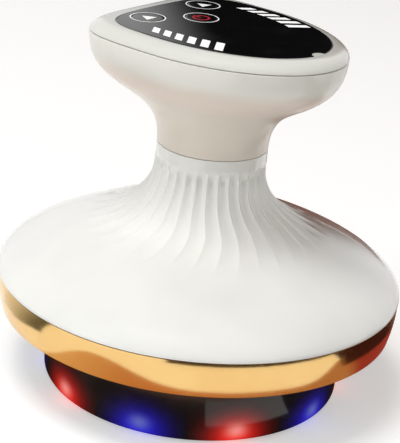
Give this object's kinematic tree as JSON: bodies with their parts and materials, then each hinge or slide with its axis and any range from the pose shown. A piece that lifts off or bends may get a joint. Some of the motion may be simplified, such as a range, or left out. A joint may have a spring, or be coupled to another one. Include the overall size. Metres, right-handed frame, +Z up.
{
  "type": "electric gua sha massager",
  "caption": "Handheld electric suction massager: round lit suction cup, polished trim ring, pleated dome, waisted handle and an egg-shaped touch panel with keys.",
  "frame": {"origin": "centre of the suction lip, on the surface it stands on", "axes": "+Z up along the body's axis, -Y towards the head's narrow end, +X to the right of the panel seen with the narrow end near"},
  "size_m": [0.09, 0.09, 0.0827],
  "materials": {
    "white_plastic": "gloss",
    "handle_plastic": "satin gloss",
    "gold_ring": "polished gold plating",
    "smoked_plastic": "smoked, see-through to lamps",
    "panel_black": "high gloss",
    "milky_plastic": "frosted",
    "inner_black": "moulded",
    "inner_white": "moulded",
    "soft_rubber": "matt silicone",
    "steel": "brushed",
    "copper_film": "etched film",
    "circuit_board": "lacquered",
    "red_lamp": "clear tinted",
    "blue_lamp": "clear tinted",
    "cell_wrap": "shrink film",
    "flat_cable": "polyimide film",
    "wire_cover": "insulation"
  },
  "bodies": {
    "massager_body": {"left_light_bars": "milky_plastic", "right_light_bars": "milky_plastic", "status_light": "milky_plastic", "touch_panel": "panel_black", "light_mask": "inner_white", "key_domes": "steel", "display_board": "circuit_board", "display_lamps": "milky_plastic", "board_screws": "steel", "head_frame": "inner_black", "top_bezel": "white_plastic", "handle_shell": "handle_plastic", "neck_disc": "inner_black", "charging_port": "steel", "port_board": "circuit_board", "dome_shell": "white_plastic", "trim_ring": "gold_ring", "base_frame": "inner_white", "base_screws": "steel", "light_skirt": "smoked_plastic", "suction_bowl": "inner_black", "cup_ring": "inner_black", "soft_lip": "soft_rubber", "heat_plate": "steel", "massage_beads": "steel", "heater_film": "copper_film", "thermistor": "inner_black", "suction_nozzle": "inner_white", "nozzle_nut": "steel", "nozzle_gasket": "soft_rubber", "filter_disc": "steel", "lamp_board": "inner_white", "red_lamps": "red_lamp", "blue_lamps": "blue_lamp", "power_board": "circuit_board", "power_parts": "inner_black", "board_posts": "inner_black", "battery": "cell_wrap", "battery_pad": "soft_rubber", "pump_cradle": "inner_black", "motor_grommet": "soft_rubber", "pump_motor": "steel", "pump_case": "inner_black", "pump_diaphragm": "soft_rubber", "valve_plate": "inner_white", "pump_cap": "inner_white", "pump_tube": "soft_rubber", "valve_tube": "soft_rubber", "valve_body": "cell_wrap", "valve_spring": "steel", "display_cable": "flat_cable", "motor_leads": "wire_cover", "battery_leads": "wire_cover"},
    "power_button": {"power_key": "panel_black"},
    "suction_button": {"suction_key": "panel_black"},
    "heat_button": {"heat_key": "panel_black"},
    "pump_rotor": {"motor_shaft": "steel", "pump_eccentric": "inner_white", "wobble_plate": "inner_black"},
    "release_plunger": {"valve_plunger": "steel"}
  },
  "joints": [
    {"name": "power_press", "type": "slide", "parent": "massager_body", "child": "power_button", "axis": [0, 0, -1], "range_m": [0, 0.0004], "stiffness_N_per_m": 1200, "springref_m": -0.0003},
    {"name": "suction_press", "type": "slide", "parent": "massager_body", "child": "suction_button", "axis": [0, 0, -1], "range_m": [0, 0.0004], "stiffness_N_per_m": 1200, "springref_m": -0.0003},
    {"name": "heat_press", "type": "slide", "parent": "massager_body", "child": "heat_button", "axis": [0, 0, -1], "range_m": [0, 0.0004], "stiffness_N_per_m": 1200, "springref_m": -0.0003},
    {"name": "pump_spin", "type": "hinge", "parent": "massager_body", "child": "pump_rotor", "pos_m": [0, 0, 0.045], "axis": [0, 0, 1], "continuous": true},
    {"name": "valve_lift", "type": "slide", "parent": "massager_body", "child": "release_plunger", "axis": [0, 0, 1], "range_m": [0, 0.0008], "stiffness_N_per_m": 400, "springref_m": -0.0006, "deforming": ["valve_spring"]}
  ]
}
